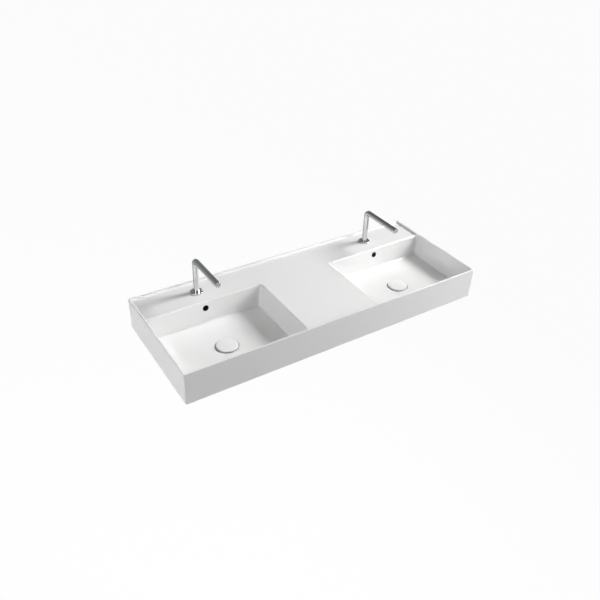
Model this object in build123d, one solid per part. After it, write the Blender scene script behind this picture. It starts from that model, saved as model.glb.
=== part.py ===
from build123d import *
import math
import os

# A wall-hung double washbasin: one ceramic casting with two bowls, a tap and a waste in each.
# X runs along the basin, the front faces -Y, and Z is up.
# The origin lies on the wall face, midway along it, at the height of the wall fixings.
# All sizes are in millimetres.

# Ceramic body: overall size and the tray that is sunk below the rim
WIDTH = 1200.0
DEPTH = 460.0
HEIGHT = 120.0
FIXING_BELOW_RIM = 65.0
CORNER_R = 6.0
RIM_WALL = 6.0
RIM_EDGE_R = 1.8
FOOT_EDGE_R = 2.0
TRAY_RECESS = 9.0
DECK_THICK = 12.0
COVE_R = 6.5

# Ceramic body: the two bowls
PLATEAU_WIDTH = 300.0
LEDGE_DEPTH = 134.0
BOWL_DEPTH = 92.0
RIM_WALL_SLOPE = 6.0
PLATEAU_WALL_SLOPE = 13.0
BACK_WALL_SLOPE = 10.0
BOWL_CORNER_R = 9.0
DECK_EDGE_R = 5.0
DISH_R = 130.0
DISH_DEPTH = 2.5

# Ceramic body: the hollow underside
SKIRT_WALL = 12.0
FLOOR_THICK = 12.0
BOWL_WALL = 9.0
HOLLOW_CORNER_R = 8.0

# Ceramic body: wall fixings
FIXING_R = 8.0
FIXING_X_OUTER = 512.0
FIXING_X_INNER = 232.0

# Overflow: a hole in the back wall of each bowl and a duct moulded behind and under the bowl
OVERFLOW_R = 11.0
OVERFLOW_REACH = 30.0
OVERFLOW_EDGE_R = 1.5
OVERFLOW_BELOW_RIM = 36.0
DUCT_WIDTH = 40.0
DUCT_DEPTH = 16.0
DUCT_HEIGHT = 8.0
DUCT_WALL = 6.0
DUCT_ABOVE_HOLE = 2.0

# Waste: seat in the ceramic
CAP_RECESS_R = 40.0
RECESS_EDGE_R = 1.5
SEAT_BELOW_FLOOR = 8.0
WASTE_HOLE_R = 23.0
BOSS_R = 38.0
BOSS_ABOVE_FOOT = 2.0
GALLERY_R = 28.0

# Waste: brass body and the parts that clamp it
WASTE_PIPE_R = 20.95
WASTE_BORE_R = 18.0
WASTE_FLANGE_R = 31.5
WASTE_FLANGE_THICK = 2.0
WASTE_FLANGE_CHAMFER = 0.6
FLANGE_SEAL_THICK = 1.0
WASTE_LENGTH = 62.0
TAIL_LENGTH = 25.0
TAIL_GROOVE_WIDTH = 1.5
TAIL_GROOVE_R = 20.2
SLOT_WIDTH = 20.0
CONE_GASKET_THICK = 6.0
CONE_GASKET_R = 33.0
CONE_BEVEL = 3.0
CONE_NOSE_R = 22.7
CONE_NOSE_HEIGHT = 2.0
CONE_NOSE_TAPER = 0.8
BACKNUT_THICK = 10.0
BACKNUT_R = 32.0
BACKNUT_LUGS = 8
BACKNUT_LUG_R = 3.4
BACKNUT_COLLAR = 2.0
HUB_R = 11.0
HUB_THICK = 7.0
SPIDER_ARMS = 3
SPIDER_ARM_WIDTH = 3.5

# Waste: push-open cap and its click cartridge
CAP_R = 38.0
CAP_ABOVE_FLOOR = 6.0
CAP_PLATE = 4.5
CAP_SKIRT = 7.0
CAP_SKIRT_WALL = 3.2
CAP_EDGE_R = 3.2
BARREL_R = 8.0
BARREL_BORE_R = 6.2
BARREL_LENGTH = 36.0
BARREL_HEAD_R = 10.4
BARREL_HEAD_THICK = 3.0
BARREL_LIP_THICK = 4.0
BARREL_FLOOR = 3.0
BARREL_DRAIN_R = 1.5
PLUNGER_R = 4.4
PLUNGER_FOOT_R = 5.8
PLUNGER_FOOT_THICK = 2.0
ROTOR_R = 6.0
ROTOR_BORE_R = 2.2
ROTOR_HEIGHT = 4.0
ROTOR_TEETH = 4
ROTOR_TOOTH_WIDTH = 2.2
ROTOR_TOOTH_RISE = 0.9
CLICK_GAP = 0.1
SPRING_R = 5.0
SPRING_WIRE_R = 0.6
SPRING_TURNS = 6
FUNNEL_R = 23.0
CARRIER_R = 19.0
CARRIER_THICK = 2.0
CARRIER_BOSS_R = 7.0
CARRIER_BOSS_LENGTH = 4.0
PLUG_SEAL_R = 21.8
PLUG_SEAL_BEVEL = 0.5

# Tap: place on the ledge and the hole it stands in
TAP_FROM_BACK = 67.0
TAP_HOLE_R = 17.5

# Tap: spout
TUBE_R = 10.0
TUBE_BORE_R = 8.6
SPOUT_RISE = 132.0
SPOUT_REACH = 178.0
SPOUT_BEND_R = 15.0
TIP_LENGTH = 7.0
TIP_GAP = 0.4
TIP_BORE_R = 8.2
TIP_EDGE = 0.4
TIP_THREAD_LENGTH = 8.0
TIP_THREAD_BORE_R = 7.3
TIP_SEAL_FROM_END = 4.7
TIP_SEAL_GROOVE = 1.8
TIP_SEAL_GROOVE_DEPTH = 0.9
TIP_SEAL_SECTION_R = 0.42
INSERT_SET_BACK = 1.5
INSERT_STEP = 1.0
INSERT_CELL_R = 0.85
INSERT_CELL_PITCH = 2.1
INSERT_CIRCLES = 4
STEM_R = 8.0
STEM_SHOULDER_R = 10.0
STEM_SHOULDER_LOW = 1.1
STEM_SHOULDER_TOP = 3.0
STEM_SPIGOT_TOP = 9.0
STEM_BORE_R = 5.0
STEM_LOW = -23.0
SNAP_LOW = -21.2
SNAP_TOP = -20.2
SNAP_GROOVE_R = 7.2
SNAP_RING_R = 9.3
SNAP_RING_OPENING = 4.0
STEM_SEAL_HEIGHTS = (-15.0, -9.0)
SEAL_GROOVE_WIDTH = 2.2
SEAL_GROOVE_DEPTH = 1.7
SEAL_SECTION_R = 0.85
STEM_SEAL_R = 7.2

# Tap: turning collar and its drive
COLLAR_R = 22.5
COLLAR_TOP = 5.0
COLLAR_PLATE = 2.0
COLLAR_LIFT = 0.4
COLLAR_EDGE_R = 1.2
COLLAR_LIP = 1.0
TUBE_GAP = 0.3
GRIP_PIN_R = 2.4
GRIP_PIN_RISE = 3.6
GRIP_PIN_FROM_AXIS = 18.6
GRIP_PIN_FOOT = 3.8
GRIP_PIN_EDGE_R = 0.9
SLEEVE_R = 12.42
SLEEVE_BORE_R = 8.08
RELIEF_R = 9.6
SPIGOT_R = 11.2
SHOULDER_R = 14.2
SHOULDER_LOW = -3.5
SHOULDER_TOP = -1.5
SLEEVE_NUT_R = 14.5
SLEEVE_NUT_SLOT = 2.0
SLEEVE_NUT_SLOT_DEPTH = 1.0
SLEEVE_END_PLAY = 0.2
CHAMBER_R = 12.5
DISC_R = 12.3
DISC_THICK = 4.0
DISC_GAP = 0.05
MOVING_DISC_TOP = -25.0
TANG_WIDTH = 5.0
TANG_LENGTH = 2.5
TANG_INNER_R = 10.0
TANG_OUTER_R = 11.9
TANG_PLAY = 0.1
ARCH_DEGREES = 110.0
ARCH_STEPS = 5
PORT_R = 2.2
PORT_SEAL_R = 0.5
PORT_ANGLES = {"cold": 0, "hot": -90}

# Tap: body in the deck and the parts that clamp it
BODY_FLANGE_R = 21.0
BODY_FLANGE_TOP = 2.6
DECK_GASKET_THICK = 0.8
DECK_GASKET_R = 20.6
SHANK_R = 16.5
SHANK_LENGTH = 60.0
CHAMBER_FLOOR = 34.0
INLET_R = 4.45
INLET_DEPTH = 12.0
INLET_FROM_AXIS = 7.2
CLAMP_R = 25.0
CLAMP_RUBBER_THICK = 2.5
CLAMP_STEEL_THICK = 2.0
CLAMP_NUT_THICK = 8.0
CLAMP_NUT_ACROSS_FLATS = 46.0
CLAMP_NUT_BEVEL = 1.5

# Overrun of a cutting shape past the face it leaves by, and the reach within which an edge belongs to a wall
OVERRUN = 1.0
NEAR_WALL = 5.0

# Heights and places worked out from the sizes above
RIM_Z = FIXING_BELOW_RIM
FOOT_Z = RIM_Z - HEIGHT
DECK_Z = RIM_Z - TRAY_RECESS
FLOOR_Z = RIM_Z - BOWL_DEPTH
UNDERSIDE_Z = FLOOR_Z - FLOOR_THICK
DECK_UNDERSIDE_Z = DECK_Z - DECK_THICK
OVERFLOW_Z = RIM_Z - OVERFLOW_BELOW_RIM
SEAT_Z = FLOOR_Z - SEAT_BELOW_FLOOR
BOSS_Z = FOOT_Z + BOSS_ABOVE_FOOT
BOWL_OUTER_X = WIDTH / 2 - RIM_WALL
BOWL_INNER_X = PLATEAU_WIDTH / 2
BOWL_FRONT_Y = -DEPTH + RIM_WALL
STATION_X = (BOWL_OUTER_X + BOWL_INNER_X) / 2
WASTE_Y = (BOWL_FRONT_Y - LEDGE_DEPTH) / 2
TAP_Y = -TAP_FROM_BACK
SIDES = {"left": -1, "right": 1}

# Heights in a waste, from the ceramic seat
GALLERY_TOP = UNDERSIDE_Z - SEAT_Z
GALLERY_LOW = GALLERY_TOP - DUCT_HEIGHT
BOSS_UNDERSIDE = BOSS_Z - SEAT_Z
HUB_TOP = GALLERY_LOW
BARREL_TOP = HUB_TOP + BARREL_HEAD_THICK
BARREL_LIP = BARREL_TOP - BARREL_LIP_THICK
BARREL_LOW = BARREL_TOP - BARREL_LENGTH
CAP_TOP = SEAT_BELOW_FLOOR + CAP_ABOVE_FLOOR
CARRIER_TOP = CAP_TOP - CAP_PLATE
CARRIER_LOW = CARRIER_TOP - CARRIER_THICK
ROTOR_TOP = BARREL_LIP - CLICK_GAP - PLUNGER_FOOT_THICK
ROTOR_LOW = ROTOR_TOP - ROTOR_HEIGHT


# Shapes that several pieces share

def turned(*profile):
    """A solid turned about Z from a closed outline of (radius, height) points."""
    outline = Polyline(*[(radius, 0, height) for radius, height in profile], close=True)
    return revolve(make_face(outline), Axis.Z)


def ring(outer_r, inner_r, low, high):
    """A plain ring between two heights."""
    return turned((inner_r, low), (outer_r, low), (outer_r, high), (inner_r, high))


def block(low, high):
    """A box between its lowest and highest corners."""
    size = [b - a for a, b in zip(low, high)]
    centre = [(a + b) / 2 for a, b in zip(low, high)]
    return Pos(*centre) * Box(*size)


def side_prism(x_low, x_high, *outline):
    """An outline of (y, z) points carried along X."""
    face = make_face(Polyline(*[(x_low, y, z) for y, z in outline], close=True))
    return extrude(face, amount=x_high - x_low, dir=(1, 0, 0))


def front_prism(y_low, y_high, *outline):
    """An outline of (x, z) points carried along Y."""
    face = make_face(Polyline(*[(x, y_low, z) for x, z in outline], close=True))
    return extrude(face, amount=y_high - y_low, dir=(0, 1, 0))


def edges_at(shape, height, tolerance=0.01):
    """The edges that lie wholly at one height."""
    return shape.edges().filter_by(
        lambda edge: abs(edge.bounding_box().min.Z - height) < tolerance
        and abs(edge.bounding_box().max.Z - height) < tolerance
    )


def upright_edges_near(shape, x, y, reach=16.0, least=3.0):
    """The edges that climb steeply close to one plan position."""
    def climbs(edge):
        box = edge.bounding_box()
        middle = box.center()
        near = abs(middle.X - x) < reach and abs(middle.Y - y) < reach
        return near and box.size.Z > least and box.size.Z > max(box.size.X, box.size.Y)
    return shape.edges().filter_by(climbs)


# The ceramic body

def rim_inset(height):
    """How far the wall below the rim has leant inwards at a height."""
    return RIM_WALL_SLOPE * (RIM_Z - height) / BOWL_DEPTH


def below_deck(height):
    """The share of the way from the deck to the bowl floor."""
    return (DECK_Z - height) / (DECK_Z - FLOOR_Z)


def rectangle_at(height, x_low, x_high, y_low, y_high):
    """A rectangle in plan at a height."""
    centre = Pos((x_low + x_high) / 2, (y_low + y_high) / 2, height)
    return centre * Rectangle(x_high - x_low, y_high - y_low)


def bowl_space(side):
    """The room inside one bowl, from the rim down to its floor."""
    levels = []
    for height in (FLOOR_Z, RIM_Z):
        inner = BOWL_INNER_X + PLATEAU_WALL_SLOPE * below_deck(height)
        outer = BOWL_OUTER_X - rim_inset(height)
        back = -LEDGE_DEPTH - BACK_WALL_SLOPE * below_deck(height)
        front = BOWL_FRONT_Y + rim_inset(height)
        low, high = sorted((side * inner, side * outer))
        levels.append(rectangle_at(height, low, high, front, back))
    return loft(levels, ruled=True)


def tray_space():
    """The room above the ledge and the plateau, inside the rim."""
    ledge = []
    plateau = []
    for height in (DECK_Z, RIM_Z):
        half = BOWL_OUTER_X - rim_inset(height)
        front = BOWL_FRONT_Y + rim_inset(height)
        ledge.append(rectangle_at(height, -half, half, -LEDGE_DEPTH, -RIM_WALL - rim_inset(height)))
        plateau.append(rectangle_at(height, -BOWL_INNER_X, BOWL_INNER_X, front, -LEDGE_DEPTH))
    return loft(ledge, ruled=True) + loft(plateau, ruled=True)


def round_the_inside(body):
    """Rounds the corners, the deck's edges and the coves that the glaze runs over."""
    for side in SIDES.values():
        body = fillet(upright_edges_near(body, side * BOWL_INNER_X, -LEDGE_DEPTH), BOWL_CORNER_R)
        body = fillet(upright_edges_near(body, side * BOWL_OUTER_X, BOWL_FRONT_Y), BOWL_CORNER_R)
    deck_edges = edges_at(body, DECK_Z).filter_by(
        lambda edge: abs(edge.center().X) < BOWL_OUTER_X - NEAR_WALL
        and BOWL_FRONT_Y + NEAR_WALL < edge.center().Y < -RIM_WALL - NEAR_WALL
    )
    body = fillet(deck_edges, DECK_EDGE_R)
    cove_edges = edges_at(body, DECK_Z).filter_by(
        lambda edge: abs(edge.center().X) > BOWL_OUTER_X - NEAR_WALL
        or edge.center().Y > -RIM_WALL - NEAR_WALL
        or edge.center().Y < BOWL_FRONT_Y + NEAR_WALL
    )
    corners = []
    for side in SIDES.values():
        corners += upright_edges_near(body, side * BOWL_OUTER_X, -RIM_WALL)
    body = fillet(list(cove_edges) + corners, COVE_R)
    floor_edges = edges_at(body, FLOOR_Z)
    return fillet(floor_edges, COVE_R)


def dish():
    """The gentle fall of a bowl floor towards the waste."""
    fall = Spline((DISH_R, 0, 0), (CAP_RECESS_R, 0, -DISH_DEPTH), tangents=[(-1, 0, 0), (-1, 0, 0)])
    lid = Polyline((CAP_RECESS_R, 0, -DISH_DEPTH), (0, 0, -DISH_DEPTH), (0, 0, OVERRUN),
                   (DISH_R, 0, OVERRUN), (DISH_R, 0, 0))
    return revolve(make_face([fall] + lid.edges()), Axis.Z)


def overflow_duct(side, width, grow):
    """The L-shaped run from the overflow hole down and forward to the waste, grown by a wall."""
    x = side * STATION_X
    front_top = -LEDGE_DEPTH + BOWL_WALL
    front_low = front_top - BACK_WALL_SLOPE
    back = front_low + DUCT_DEPTH + BACK_WALL_SLOPE / 2
    top = OVERFLOW_Z + OVERFLOW_R + DUCT_ABOVE_HOLE
    low = UNDERSIDE_Z - DUCT_HEIGHT
    outline = (
        (WASTE_Y, low - grow),
        (back + grow, low - grow),
        (back + grow, top + grow),
        (front_top - grow, top + grow),
        (front_low - grow, UNDERSIDE_Z + grow),
        (WASTE_Y, UNDERSIDE_Z + grow),
    )
    return side_prism(x - width / 2, x + width / 2, *outline)


def basin_body():
    """The one ceramic casting: rim, tray, bowls, overflow ducts and a hollow underside."""
    plan = Pos(0, -DEPTH / 2, FOOT_Z) * RectangleRounded(WIDTH, DEPTH, CORNER_R)
    body = extrude(plan, amount=HEIGHT)
    body -= tray_space()
    for side in SIDES.values():
        body -= bowl_space(side)
    body = round_the_inside(body)
    body = fillet(edges_at(body, RIM_Z), RIM_EDGE_R)
    body = fillet(edges_at(body, FOOT_Z), FOOT_EDGE_R)

    body -= hollow_underside()
    for side in SIDES.values():
        station = Pos(side * STATION_X, WASTE_Y, 0)
        body += overflow_duct(side, DUCT_WIDTH + 2 * DUCT_WALL, DUCT_WALL) - bowl_space(side)
        body += station * ring(BOSS_R, 0, BOSS_Z, UNDERSIDE_Z + OVERRUN)
    for side in SIDES.values():
        body -= overflow_duct(side, DUCT_WIDTH, 0)
        body -= Pos(side * STATION_X, WASTE_Y, 0) * waste_seat()
        hole = Cylinder(OVERFLOW_R, OVERFLOW_REACH, rotation=(90, 0, 0))
        body -= Pos(side * STATION_X, -LEDGE_DEPTH, OVERFLOW_Z) * hole
        body = fillet(overflow_mouth(body, side), OVERFLOW_EDGE_R)
        body = fillet(recess_edge(body, side), RECESS_EDGE_R)
        body -= Pos(side * STATION_X, TAP_Y, DECK_Z) * Cylinder(TAP_HOLE_R, 2 * DECK_THICK + OVERRUN)
    for x in (FIXING_X_INNER, FIXING_X_OUTER):
        for side in SIDES.values():
            body -= Pos(side * x, 0, 0) * Cylinder(FIXING_R, 2 * SKIRT_WALL + OVERRUN, rotation=(90, 0, 0))
    return body


def overflow_mouth(body, side):
    """The edge of an overflow hole on the bowl's side."""
    def is_mouth(edge):
        middle = edge.bounding_box().center()
        round_hole = 2 * OVERFLOW_R - 1 < edge.bounding_box().size.X < 2 * OVERFLOW_R + 1
        in_wall = -LEDGE_DEPTH - BACK_WALL_SLOPE < middle.Y < -LEDGE_DEPTH
        return round_hole and in_wall and middle.X * side > 0 and abs(middle.Z - OVERFLOW_Z) < 1
    return body.edges().filter_by(is_mouth)


def recess_edge(body, side):
    """The edge where a bowl's floor drops into its cap recess."""
    return edges_at(body, FLOOR_Z - DISH_DEPTH).filter_by(lambda edge: edge.center().X * side > 0)


def hollow_underside():
    """The room under the bowls, the ledge and the plateau."""
    half = WIDTH / 2 - SKIRT_WALL
    front = -DEPTH + SKIRT_WALL
    under_bowls = block((-half, front, FOOT_Z), (half, -SKIRT_WALL, UNDERSIDE_Z))
    back_top = -LEDGE_DEPTH + BOWL_WALL
    under_ledge = side_prism(
        -half, half,
        (-SKIRT_WALL, UNDERSIDE_Z),
        (-SKIRT_WALL, DECK_UNDERSIDE_Z),
        (back_top, DECK_UNDERSIDE_Z),
        (back_top - BACK_WALL_SLOPE, UNDERSIDE_Z),
    )
    top_half = BOWL_INNER_X - BOWL_WALL
    low_half = top_half + PLATEAU_WALL_SLOPE
    under_plateau = front_prism(
        front, back_top,
        (-low_half, UNDERSIDE_Z),
        (low_half, UNDERSIDE_Z),
        (top_half, DECK_UNDERSIDE_Z),
        (-top_half, DECK_UNDERSIDE_Z),
    )
    hollow = under_bowls + under_ledge + under_plateau
    for x in (-half, half):
        for y in (front, -SKIRT_WALL):
            hollow = fillet(upright_edges_near(hollow, x, y), HOLLOW_CORNER_R)
    return hollow


def waste_seat():
    """What is cut from the ceramic for one waste: dish, cap recess, hole and overflow gallery."""
    cut = Pos(0, 0, FLOOR_Z) * dish()
    cut += ring(CAP_RECESS_R, 0, SEAT_Z, FLOOR_Z)
    cut += ring(WASTE_HOLE_R, 0, BOSS_Z - OVERRUN, SEAT_Z)
    cut += ring(GALLERY_R, 0, UNDERSIDE_Z - DUCT_HEIGHT, UNDERSIDE_Z)
    return cut


# The waste, drawn with its axis on Z and the ceramic seat at height 0

def waste_body():
    """Brass flange and pipe, with overflow slots, a three-armed hub and a groove above the trap's thread."""
    low = -WASTE_LENGTH
    groove_low = low + TAIL_LENGTH
    groove_top = groove_low + TAIL_GROOVE_WIDTH
    under = FLANGE_SEAL_THICK
    top = FLANGE_SEAL_THICK + WASTE_FLANGE_THICK
    body = turned(
        (WASTE_BORE_R, low), (WASTE_PIPE_R, low), (WASTE_PIPE_R, groove_low), (TAIL_GROOVE_R, groove_low),
        (TAIL_GROOVE_R, groove_top), (WASTE_PIPE_R, groove_top), (WASTE_PIPE_R, under), (WASTE_FLANGE_R, under),
        (WASTE_FLANGE_R, top - WASTE_FLANGE_CHAMFER), (WASTE_FLANGE_R - WASTE_FLANGE_CHAMFER, top),
        (FUNNEL_R, top), (WASTE_BORE_R, top - (FUNNEL_R - WASTE_BORE_R)),
    )
    half_slot = SLOT_WIDTH / 2
    body -= block((-half_slot, -WASTE_FLANGE_R, GALLERY_LOW), (half_slot, WASTE_FLANGE_R, GALLERY_TOP))
    hub_low = HUB_TOP - HUB_THICK
    half_arm = SPIDER_ARM_WIDTH / 2
    hub = ring(HUB_R, BARREL_R, hub_low, HUB_TOP)
    arm = block((HUB_R - OVERRUN, -half_arm, hub_low), (WASTE_BORE_R + OVERRUN, half_arm, HUB_TOP - OVERRUN))
    for turn in range(SPIDER_ARMS):
        hub += Rot(0, 0, turn * 360 / SPIDER_ARMS) * arm
    return body + hub


def flange_seal():
    """The flat rubber ring between the flange and the ceramic."""
    return ring(WASTE_FLANGE_R - WASTE_FLANGE_CHAMFER, WASTE_PIPE_R, 0, FLANGE_SEAL_THICK)


def cone_gasket():
    """The rubber ring whose nose fills the hole from below."""
    top = BOSS_UNDERSIDE
    low = top - CONE_GASKET_THICK
    nose_top = top + CONE_NOSE_HEIGHT
    return turned(
        (WASTE_PIPE_R, low), (CONE_GASKET_R, low), (CONE_GASKET_R, top - CONE_BEVEL),
        (CONE_GASKET_R - CONE_BEVEL, top), (CONE_NOSE_R, top), (CONE_NOSE_R - CONE_NOSE_TAPER, nose_top),
        (WASTE_PIPE_R, nose_top),
    )


def backnut():
    """The round nut with finger lugs that draws the waste down."""
    top = BOSS_UNDERSIDE - CONE_GASKET_THICK
    low = top - BACKNUT_THICK
    collar_low = top - BACKNUT_COLLAR
    body_r = BACKNUT_R - BACKNUT_LUG_R / 2
    nut = ring(body_r, WASTE_PIPE_R, low, collar_low)
    lug = Pos(body_r, 0, 0) * ring(BACKNUT_LUG_R, 0, low, collar_low)
    lug = lug & ring(BACKNUT_R, body_r - BACKNUT_LUG_R, low, collar_low)
    for turn in range(BACKNUT_LUGS):
        nut += Rot(0, 0, turn * 360 / BACKNUT_LUGS) * lug
    return nut + ring(CONE_GASKET_R, WASTE_PIPE_R, collar_low, top)


def click_barrel():
    """The cartridge's screwed barrel, closed below but for a drain hole, lipped at the top."""
    mouth_r = PLUNGER_R + CLICK_GAP
    floor = BARREL_LOW + BARREL_FLOOR
    return turned(
        (BARREL_DRAIN_R, BARREL_LOW), (BARREL_R, BARREL_LOW), (BARREL_R, HUB_TOP), (BARREL_HEAD_R, HUB_TOP),
        (BARREL_HEAD_R, BARREL_TOP), (mouth_r, BARREL_TOP), (mouth_r, BARREL_LIP), (BARREL_BORE_R, BARREL_LIP),
        (BARREL_BORE_R, floor), (BARREL_DRAIN_R, floor),
    )


def click_plunger():
    """The rod under the cap, with a foot that stops it under the barrel's lip."""
    foot = BARREL_LIP - CLICK_GAP
    return turned(
        (0, ROTOR_TOP), (PLUNGER_FOOT_R, ROTOR_TOP), (PLUNGER_FOOT_R, foot), (PLUNGER_R, foot),
        (PLUNGER_R, CARRIER_LOW), (0, CARRIER_LOW),
    )


def click_rotor():
    """The toothed ring that latches the plunger up or down at each push."""
    root_r = ROTOR_R - ROTOR_TOOTH_RISE
    half_tooth = ROTOR_TOOTH_WIDTH / 2
    rotor = ring(root_r, ROTOR_BORE_R, ROTOR_LOW, ROTOR_TOP)
    tooth_top = ROTOR_TOP - ROTOR_TOOTH_RISE
    tooth = block((root_r - OVERRUN, -half_tooth, ROTOR_LOW), (ROTOR_R, half_tooth, tooth_top))
    for turn in range(ROTOR_TEETH):
        rotor += Rot(0, 0, turn * 360 / ROTOR_TEETH) * tooth
    return rotor & ring(ROTOR_R, ROTOR_BORE_R, ROTOR_LOW, ROTOR_TOP)


def click_spring():
    """The spring that lifts the cap, one unbroken coil standing on the barrel's floor."""
    low = BARREL_LOW + BARREL_FLOOR + SPRING_WIRE_R + CLICK_GAP / 2
    high = ROTOR_LOW - SPRING_WIRE_R - CLICK_GAP
    path = Helix((high - low) / SPRING_TURNS, high - low, SPRING_R)
    section = Plane(origin=path @ 0, z_dir=path % 0) * RegularPolygon(SPRING_WIRE_R, 6)
    return Pos(0, 0, low) * sweep(section, path, is_frenet=True)


def waste_cap():
    """The ceramic cap: a flat disc with a rounded edge and a hidden skirt round the flange."""
    low = CAP_TOP - CAP_SKIRT
    inner = CAP_R - CAP_SKIRT_WALL
    cap = turned(
        (0, CARRIER_TOP), (inner, CARRIER_TOP), (inner, low), (CAP_R, low), (CAP_R, CAP_TOP), (0, CAP_TOP),
    )
    return fillet(edges_at(cap, CAP_TOP), CAP_EDGE_R)


def cap_carrier():
    """The moulded disc glued under the cap, with the boss that the plunger screws into."""
    boss_low = CARRIER_LOW - CARRIER_BOSS_LENGTH
    return turned(
        (0, CARRIER_LOW), (PLUNGER_R, CARRIER_LOW), (PLUNGER_R, boss_low), (CARRIER_BOSS_R, boss_low),
        (CARRIER_BOSS_R, CARRIER_LOW), (CARRIER_R, CARRIER_LOW), (CARRIER_R, CARRIER_TOP), (0, CARRIER_TOP),
    )


def plug_seal():
    """The rubber ring round the carrier that meets the flange's funnel."""
    return turned(
        (CARRIER_R, CARRIER_LOW), (PLUG_SEAL_R - PLUG_SEAL_BEVEL, CARRIER_LOW),
        (PLUG_SEAL_R, CARRIER_LOW + PLUG_SEAL_BEVEL), (PLUG_SEAL_R, CARRIER_TOP), (CARRIER_R, CARRIER_TOP),
    )


# The tap, drawn with its axis on Z and the deck at height 0

def spout_tube():
    """The bent tube: straight up, one tight bend and straight forward."""
    tube_end = SPOUT_REACH - TIP_LENGTH
    path = FilletPolyline(
        (0, 0, STEM_SHOULDER_TOP), (0, 0, SPOUT_RISE), (0, -tube_end, SPOUT_RISE), radius=SPOUT_BEND_R)
    section = Pos(0, 0, STEM_SHOULDER_TOP) * (Circle(TUBE_R) - Circle(TUBE_BORE_R))
    return sweep(section, path)


def spout_stem():
    """The turned foot of the spout: shoulder, two seal grooves and a snap ring groove."""
    wall = STEM_BORE_R
    groove = STEM_R - SEAL_GROOVE_DEPTH
    outline = [(wall, STEM_LOW), (STEM_R, STEM_LOW), (STEM_R, SNAP_LOW), (SNAP_GROOVE_R, SNAP_LOW)]
    outline += [(SNAP_GROOVE_R, SNAP_TOP), (STEM_R, SNAP_TOP)]
    for middle in STEM_SEAL_HEIGHTS:
        low = middle - SEAL_GROOVE_WIDTH / 2
        high = middle + SEAL_GROOVE_WIDTH / 2
        outline += [(STEM_R, low), (groove, low), (groove, high), (STEM_R, high)]
    outline += [(STEM_R, STEM_SHOULDER_LOW), (STEM_SHOULDER_R, STEM_SHOULDER_LOW)]
    outline += [(STEM_SHOULDER_R, STEM_SHOULDER_TOP), (TUBE_BORE_R, STEM_SHOULDER_TOP)]
    outline += [(TUBE_BORE_R, STEM_SPIGOT_TOP), (wall, STEM_SPIGOT_TOP)]
    return turned(*outline)


def stem_o_rings():
    """The two rubber rings in the stem's grooves."""
    return [Pos(0, 0, height) * Torus(STEM_SEAL_R, SEAL_SECTION_R) for height in STEM_SEAL_HEIGHTS]


def spout_snap_ring():
    """The open ring that stops the spout from being pulled out of its sleeve."""
    clip = ring(SNAP_RING_R, SNAP_GROOVE_R, SNAP_LOW, SNAP_TOP)
    half = SNAP_RING_OPENING / 2
    return clip - block((0, -half, SNAP_LOW - OVERRUN), (SNAP_RING_R + OVERRUN, half, SNAP_TOP + OVERRUN))


def tip_place():
    """The spout's end: height measured from there runs forwards, out of the tube."""
    return Pos(0, -(SPOUT_REACH - TIP_LENGTH), SPOUT_RISE) * Rot(90, 0, 0)


def aerator_housing():
    """The ring screwed into the spout's end, with a fine shadow gap behind it."""
    front = TIP_LENGTH
    groove_r = TUBE_BORE_R - TIP_SEAL_GROOVE_DEPTH
    groove_back = -TIP_SEAL_FROM_END - TIP_SEAL_GROOVE / 2
    groove_front = -TIP_SEAL_FROM_END + TIP_SEAL_GROOVE / 2
    gap_r = TUBE_R - TIP_GAP
    housing = turned(
        (TIP_THREAD_BORE_R, -TIP_THREAD_LENGTH), (TUBE_BORE_R, -TIP_THREAD_LENGTH),
        (TUBE_BORE_R, groove_back), (groove_r, groove_back), (groove_r, groove_front),
        (TUBE_BORE_R, groove_front), (TUBE_BORE_R, 0), (gap_r, 0), (gap_r, TIP_GAP), (TUBE_R, TIP_GAP),
        (TUBE_R, front - TIP_EDGE), (TUBE_R - TIP_EDGE, front), (TIP_BORE_R + TIP_EDGE, front),
        (TIP_BORE_R, front - TIP_EDGE), (TIP_BORE_R, INSERT_STEP), (TIP_THREAD_BORE_R, INSERT_STEP),
    )
    return tip_place() * housing


def aerator_o_ring():
    """The rubber ring round the housing's thread."""
    ring_r = TUBE_BORE_R - TIP_SEAL_GROOVE_DEPTH / 2
    return tip_place() * Pos(0, 0, -TIP_SEAL_FROM_END) * Torus(ring_r, TIP_SEAL_SECTION_R)


def aerator_insert():
    """The honeycomb disc that the water leaves through, set back in its housing."""
    insert = ring(TIP_BORE_R, 0, INSERT_STEP, TIP_LENGTH - INSERT_SET_BACK)
    for circle in range(INSERT_CIRCLES):
        for turn in range(max(1, 6 * circle)):
            angle = turn * 60 / max(1, circle)
            cell = Rot(0, 0, angle) * Pos(circle * INSERT_CELL_PITCH, 0, 0) * RegularPolygon(INSERT_CELL_R, 6)
            insert -= extrude(cell, amount=TIP_LENGTH)
    return tip_place() * insert


def control_collar():
    """The round plate on the deck that is turned to open and mix the water."""
    recess_r = BODY_FLANGE_R + COLLAR_LIFT
    hole_r = TUBE_R + TUBE_GAP
    plate_low = COLLAR_TOP - COLLAR_PLATE
    lip_low = COLLAR_TOP - COLLAR_LIP
    collar = turned(
        (recess_r, COLLAR_LIFT), (COLLAR_R, COLLAR_LIFT), (COLLAR_R, COLLAR_TOP), (hole_r, COLLAR_TOP),
        (hole_r, lip_low), (SPIGOT_R, lip_low), (SPIGOT_R, plate_low), (recess_r, plate_low),
    )
    outer_edge = edges_at(collar, COLLAR_TOP).sort_by(SortBy.LENGTH)[-1]
    collar = fillet(outer_edge, COLLAR_EDGE_R)
    pin_hole = ring(GRIP_PIN_R, 0, GRIP_PIN_FOOT, COLLAR_TOP + OVERRUN)
    return collar - Pos(GRIP_PIN_FROM_AXIS, 0, 0) * pin_hole


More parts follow.
